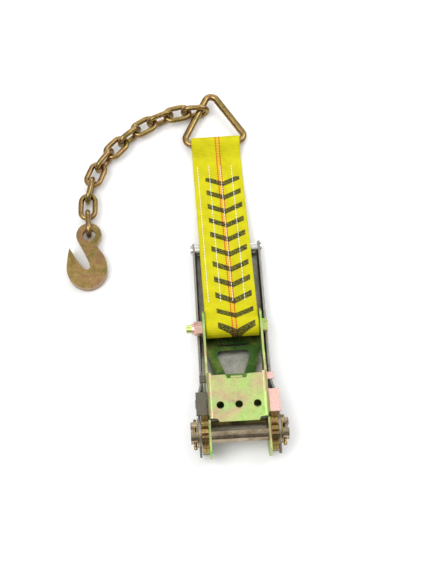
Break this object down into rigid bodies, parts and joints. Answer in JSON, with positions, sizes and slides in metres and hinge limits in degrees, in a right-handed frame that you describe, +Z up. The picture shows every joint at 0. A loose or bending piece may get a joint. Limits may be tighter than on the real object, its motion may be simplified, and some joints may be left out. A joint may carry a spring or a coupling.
{
  "type": "ratchet strap short end with chain and grab hook",
  "caption": "Ratchet buckle with a bolted webbing loop, a delta ring, a short chain extension and an eye grab hook, for tying down a load",
  "frame": {"origin": "on the surface that the part lies on, under the middle of its bounding box", "axes": "+Y from the ratchet towards the ring, the longest way; +Z up from the surface, the shortest way; +X along the spool"},
  "size_m": [0.3048, 0.6006, 0.067],
  "materials": {
    "light_dichromate": "satin",
    "gold_dichromate": "satin",
    "bronze_dichromate": "satin",
    "green_dichromate": "satin",
    "grey_zinc": "satin",
    "bright_zinc": "bright",
    "yellow_webbing": "woven"
  },
  "bodies": {
    "frame": {"frame_channel": "light_dichromate", "anchor_bolt": "green_dichromate", "anchor_nut": "gold_dichromate", "anchor_sleeve": "gold_dichromate", "lock_spring_stop": "light_dichromate", "lock_spring": "bright_zinc"},
    "handle": {"handle_channel": "grey_zinc", "grip_tube": "bright_zinc", "grip_rivet": "bright_zinc", "drive_spring_stop": "grey_zinc", "drive_spring": "bright_zinc"},
    "spool": {"half_shaft_front": "bronze_dichromate", "half_shaft_rear": "bronze_dichromate", "ratchet_wheel_left_inner": "gold_dichromate", "ratchet_wheel_left_outer": "gold_dichromate", "ratchet_wheel_right_inner": "gold_dichromate", "ratchet_wheel_right_outer": "gold_dichromate", "hub_washer_left": "gold_dichromate", "hub_washer_right": "gold_dichromate", "cotter_pin_left": "gold_dichromate", "cotter_pin_right": "gold_dichromate"},
    "lock_pawl": {"lock_pawl": "green_dichromate"},
    "drive_pawl": {"drive_pawl": "green_dichromate"},
    "strap": {"webbing_loop": "yellow_webbing"},
    "ring": {"delta_ring": "gold_dichromate"},
    "link_01": {"chain_link_01": "gold_dichromate"},
    "link_02": {"chain_link_02": "gold_dichromate"},
    "link_03": {"chain_link_03": "gold_dichromate"},
    "link_04": {"chain_link_04": "gold_dichromate"},
    "link_05": {"chain_link_05": "gold_dichromate"},
    "link_06": {"chain_link_06": "gold_dichromate"},
    "link_07": {"chain_link_07": "gold_dichromate"},
    "link_08": {"chain_link_08": "gold_dichromate"},
    "link_09": {"chain_link_09": "gold_dichromate"},
    "link_10": {"chain_link_10": "gold_dichromate"},
    "link_11": {"chain_link_11": "gold_dichromate"},
    "hook": {"grab_hook": "gold_dichromate"}
  },
  "joints": [
    {"name": "handle_swing", "type": "hinge", "parent": "frame", "child": "handle", "pos_m": [0.08592, -0.26384, 0.037], "axis": [-1, 0, 0], "range_deg": [0, 125]},
    {"name": "spool_spin", "type": "hinge", "parent": "frame", "child": "spool", "pos_m": [0.08592, -0.26384, 0.037], "axis": [1, 0, 0], "continuous": true},
    {"name": "lock_pawl_slide", "type": "slide", "parent": "frame", "child": "lock_pawl", "axis": [0, 1, 0], "range_m": [0, 0.006], "stiffness_N_per_m": 400, "springref_m": -0.002, "deforming": ["lock_spring"]},
    {"name": "drive_pawl_slide", "type": "slide", "parent": "handle", "child": "drive_pawl", "axis": [0, 1, 0], "range_m": [0, 0.007], "stiffness_N_per_m": 400, "springref_m": -0.002, "deforming": ["drive_spring"]},
    {"name": "strap_swing", "type": "hinge", "parent": "frame", "child": "strap", "pos_m": [0.08592, -0.11084, 0.0355], "axis": [1, 0, 0], "range_deg": [0, 100]},
    {"name": "ring_swing", "type": "hinge", "parent": "strap", "child": "ring", "pos_m": [0.08042, 0.21316, 0.0104], "axis": [0.9995, 0.0314, 0], "range_deg": [-20, 70]},
    {"name": "link_01_swing", "type": "hinge", "parent": "ring", "child": "link_01", "pos_m": [0.05848, 0.26929, 0.01527], "axis": [0.4718, 0.8786, 0.074], "range_deg": [-20, 20]},
    {"name": "link_02_swing", "type": "hinge", "parent": "link_01", "child": "link_02", "pos_m": [0.03262, 0.27033, 0.0151], "axis": [0, 0, 1], "range_deg": [-18, 18]},
    {"name": "link_03_swing", "type": "hinge", "parent": "link_02", "child": "link_03", "pos_m": [0.00427, 0.264, 0.0151], "axis": [0.1908, -0.9816, 0], "range_deg": [-18, 18]},
    {"name": "link_04_swing", "type": "hinge", "parent": "link_03", "child": "link_04", "pos_m": [-0.02232, 0.2523, 0.0151], "axis": [0, 0, 1], "range_deg": [-18, 18]},
    {"name": "link_05_swing", "type": "hinge", "parent": "link_04", "child": "link_05", "pos_m": [-0.04683, 0.23673, 0.0151], "axis": [0.515, -0.8572, 0], "range_deg": [-18, 18]},
    {"name": "link_06_swing", "type": "hinge", "parent": "link_05", "child": "link_06", "pos_m": [-0.06861, 0.21752, 0.0151], "axis": [0, 0, 1], "range_deg": [-18, 18]},
    {"name": "link_07_swing", "type": "hinge", "parent": "link_06", "child": "link_07", "pos_m": [-0.08841, 0.19632, 0.0151], "axis": [0.7193, -0.6947, 0], "range_deg": [-18, 18]},
    {"name": "link_08_swing", "type": "hinge", "parent": "link_07", "child": "link_08", "pos_m": [-0.10495, 0.17246, 0.0151], "axis": [0, 0, 1], "range_deg": [-18, 18]},
    {"name": "link_09_swing", "type": "hinge", "parent": "link_08", "child": "link_09", "pos_m": [-0.11535, 0.1453, 0.0151], "axis": [0.9205, -0.3907, 0], "range_deg": [-18, 18]},
    {"name": "link_10_swing", "type": "hinge", "parent": "link_09", "child": "link_10", "pos_m": [-0.12052, 0.11671, 0.0151], "axis": [0.1022, -0.0217, 0.9945], "range_deg": [-18, 18]},
    {"name": "link_11_swing", "type": "hinge", "parent": "link_10", "child": "link_11", "pos_m": [-0.12074, 0.08767, 0.0151], "axis": [0.9994, -0.0349, 0], "range_deg": [-18, 18]},
    {"name": "hook_swing", "type": "hinge", "parent": "link_11", "child": "hook", "pos_m": [-0.11882, 0.05872, 0.0151], "axis": [0.0697, 0.0037, 0.9976], "range_deg": [-18, 18]}
  ]
}
